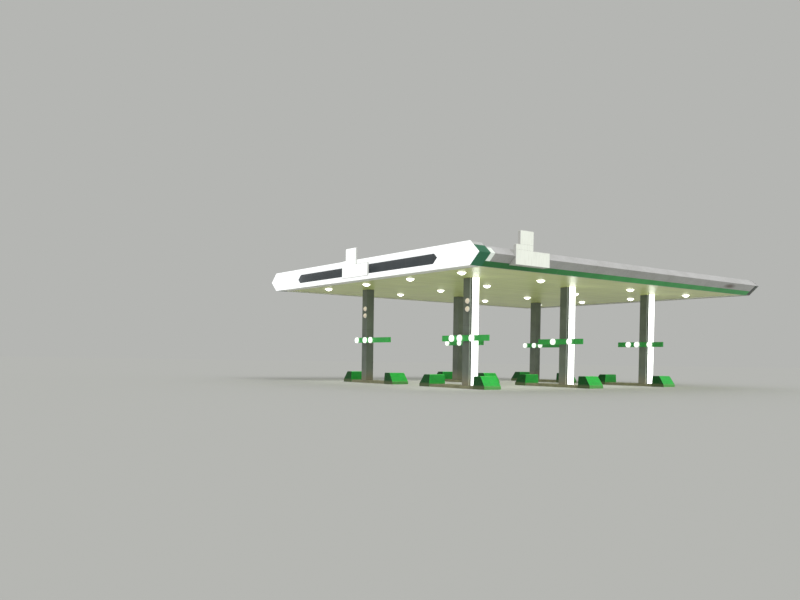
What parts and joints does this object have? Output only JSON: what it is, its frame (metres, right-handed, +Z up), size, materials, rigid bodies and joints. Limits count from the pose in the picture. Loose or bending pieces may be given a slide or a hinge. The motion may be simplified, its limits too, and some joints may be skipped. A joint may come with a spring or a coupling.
{
  "type": "filling station canopy",
  "caption": "Flat V-nosed canopy roof with hexagonal lit ends on clad columns, with fuelling islands, crash guards, number boards and light strips.",
  "frame": {"origin": "centre of the roof's plan, on the forecourt", "axes": "+Z up; +Y from the front light box to the rear one, along the roof; +X towards the side that carries the side sign and the light strips"},
  "size_m": [20.816, 24.15, 7.85],
  "materials": {
    "concrete": "trowelled cast concrete, dusty",
    "column_cladding": "satin grey-green coated sheet",
    "board_green": "satin paint",
    "guard_green": "gloss paint",
    "lit_acrylic": "opal acrylic, lit from inside",
    "aluminium": "mill finish",
    "lamp_shell": "unlit opal dome",
    "ceiling_panel": "semi-gloss coated panel",
    "primed_steel": "matt primer",
    "galvanised": "galvanised sheet",
    "fascia_panel": "satin light grey coated panel",
    "stripe_green": "satin coated trim",
    "wrap_green": "gloss film on panel",
    "case_metal": "satin coated sheet",
    "rear_metal": "satin dark grey coated sheet",
    "dark_panel": "dark grey panel",
    "sign_white": "blank white lit face"
  },
  "bodies": {
    "root": {"island_front_left": "concrete", "island_middle_left": "concrete", "island_rear_left": "concrete", "island_front_right": "concrete", "island_middle_right": "concrete", "island_rear_right": "concrete", "column_front_left": "column_cladding", "column_middle_left": "column_cladding", "column_rear_left": "column_cladding", "column_front_right": "column_cladding", "column_middle_right": "column_cladding", "column_rear_right": "column_cladding", "board_front_left": "board_green", "board_middle_left": "board_green", "board_rear_left": "board_green", "board_front_right": "board_green", "board_middle_right": "board_green", "board_rear_right": "board_green", "guards_left": "guard_green", "guards_right": "guard_green", "number_lamps": "lit_acrylic", "strip_channels": "aluminium", "strip_diffusers": "lit_acrylic", "wall_lamps": "lamp_shell", "ceiling": "ceiling_panel", "downlight_cans": "aluminium", "downlight_lenses": "lit_acrylic", "girders": "primed_steel", "purlins": "galvanised", "fascia_ribs": "primed_steel", "roof_deck": "galvanised", "roof_flashings": "galvanised", "fascia_left": "fascia_panel", "fascia_right": "fascia_panel", "green_stripes": "stripe_green", "corner_wraps": "wrap_green", "light_bands": "lit_acrylic", "front_case": "case_metal", "front_light_face": "lit_acrylic", "front_recess_panel": "dark_panel", "rear_case": "rear_metal", "rear_light_face": "lit_acrylic", "rear_recess_panel": "dark_panel", "front_sign": "sign_white", "side_sign": "sign_white"}
  },
  "joints": []
}
